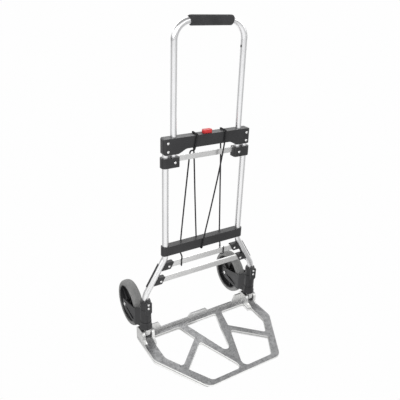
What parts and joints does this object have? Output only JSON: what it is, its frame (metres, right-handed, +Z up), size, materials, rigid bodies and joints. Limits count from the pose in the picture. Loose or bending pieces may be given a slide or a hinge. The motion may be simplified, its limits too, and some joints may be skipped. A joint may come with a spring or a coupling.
{
  "type": "folding hand truck",
  "caption": "A folding two-wheel hand truck with a telescoping U handle, splayed tubular legs, a windowed cast toe plate that folds up, wheels that swing in with it, and an elastic cord",
  "frame": {"origin": "The middle of the footprint on the floor: halfway between the wheels' outer ends in X, and halfway between the toe plate's front edge and the backs of the wheels in Y.", "axes": "+Z is up along the legs to the handle, +X is the truck's right as seen from the toe plate's side, and -Y points forward, over the toe plate. The truck is set up for use: handle raised, toe plate down, wheels out."},
  "size_m": [0.5074, 0.522, 1.1007],
  "materials": {
    "anodised_tube": "bright satin anodised tube",
    "cast_aluminium": "tumbled die casting, grey skin with brighter edges",
    "black_moulding": "fine-grained black nylon moulding",
    "foam_grip": "closed-cell foam sleeve",
    "red_plastic": "moulded push button",
    "bright_steel": "zinc plated rivets, bolts and pins",
    "grey_tyre": "solid grey non-marking rubber",
    "black_elastic": "woven sheath over elastic strands"
  },
  "bodies": {
    "frame": {"leg_tube_left": "anodised_tube", "leg_tube_right": "anodised_tube", "beam_front_cover": "black_moulding", "beam_rear_cover": "black_moulding", "lower_bar": "black_moulding", "lower_bar_screw_left": "bright_steel", "lower_bar_screw_right": "bright_steel", "crossbar_upper": "anodised_tube", "crossbar_lower": "anodised_tube", "leg_bracket_left": "black_moulding", "leg_bracket_right": "black_moulding", "leg_sleeve_left": "black_moulding", "leg_sleeve_right": "black_moulding", "foot_left": "cast_aluminium", "foot_right": "cast_aluminium", "bungee_cord": "black_elastic", "bungee_hook_left": "bright_steel", "bungee_hook_right": "bright_steel", "button_spring": "bright_steel", "beam_rivet_left_upper": "bright_steel", "beam_rivet_left_lower": "bright_steel", "beam_rivet_right_upper": "bright_steel", "beam_rivet_right_lower": "bright_steel", "bracket_rivet_left_upper": "bright_steel", "bracket_rivet_left_lower": "bright_steel", "bracket_rivet_right_upper": "bright_steel", "bracket_rivet_right_lower": "bright_steel", "sleeve_rivet_left_upper": "bright_steel", "sleeve_rivet_left_lower": "bright_steel", "sleeve_rivet_right_upper": "bright_steel", "sleeve_rivet_right_lower": "bright_steel"},
    "handle": {"handle_tube": "anodised_tube", "handle_grip": "foam_grip", "slider_left": "black_moulding", "slider_right": "black_moulding", "slider_bar": "anodised_tube", "slider_rivet_left": "bright_steel", "slider_rivet_right": "bright_steel"},
    "release_button": {"release_button": "red_plastic"},
    "lock_pin_left": {"lock_pin_left": "bright_steel"},
    "lock_pin_right": {"lock_pin_right": "bright_steel"},
    "toe_plate": {"toe_plate": "cast_aluminium", "hinge_pin_left": "bright_steel", "hinge_pin_right": "bright_steel"},
    "fork_left": {"fork_left": "black_moulding", "axle_left": "bright_steel", "axle_nut_left": "bright_steel"},
    "fork_right": {"fork_right": "black_moulding", "axle_right": "bright_steel", "axle_nut_right": "bright_steel"},
    "wheel_left": {"tyre_left": "grey_tyre", "hub_left": "black_moulding", "wheel_bush_left": "bright_steel"},
    "wheel_right": {"tyre_right": "grey_tyre", "hub_right": "black_moulding", "wheel_bush_right": "bright_steel"}
  },
  "joints": [
    {"name": "handle_slide", "type": "slide", "parent": "frame", "child": "handle", "axis": [0, 0, -1], "range_m": [0, 0.275]},
    {"name": "button_press", "type": "slide", "parent": "frame", "child": "release_button", "axis": [0, 0, -1], "range_m": [0, 0.006], "stiffness_N_per_m": 700, "springref_m": -0.0015, "deforming": ["button_spring"]},
    {"name": "lock_left_slide", "type": "slide", "parent": "frame", "child": "lock_pin_left", "axis": [1, 0, 0], "range_m": [0, 0.005]},
    {"name": "lock_right_slide", "type": "slide", "parent": "frame", "child": "lock_pin_right", "axis": [-1, 0, 0], "range_m": [0, 0.005]},
    {"name": "toe_plate_fold", "type": "hinge", "parent": "frame", "child": "toe_plate", "pos_m": [0, 0.035, 0.046], "axis": [-1, 0, 0], "range_deg": [0, 90]},
    {"name": "fork_left_swivel", "type": "hinge", "parent": "frame", "child": "fork_left", "pos_m": [-0.2248, 0.043, 0.087], "axis": [0, 0, -1], "range_deg": [0, 90]},
    {"name": "fork_right_swivel", "type": "hinge", "parent": "frame", "child": "fork_right", "pos_m": [0.2248, 0.043, 0.087], "axis": [0, 0, 1], "range_deg": [0, 90]},
    {"name": "wheel_left_spin", "type": "hinge", "parent": "fork_left", "child": "wheel_left", "pos_m": [-0.2248, 0.174, 0.087], "axis": [1, 0, 0], "continuous": true},
    {"name": "wheel_right_spin", "type": "hinge", "parent": "fork_right", "child": "wheel_right", "pos_m": [0.2248, 0.174, 0.087], "axis": [1, 0, 0], "continuous": true}
  ],
  "couplings": [
    {"joint": "lock_left_slide", "follows": "button_press", "ratio": 0.83333},
    {"joint": "lock_right_slide", "follows": "button_press", "ratio": 0.83333},
    {"joint": "fork_left_swivel", "follows": "toe_plate_fold", "ratio": 1},
    {"joint": "fork_right_swivel", "follows": "toe_plate_fold", "ratio": 1}
  ]
}
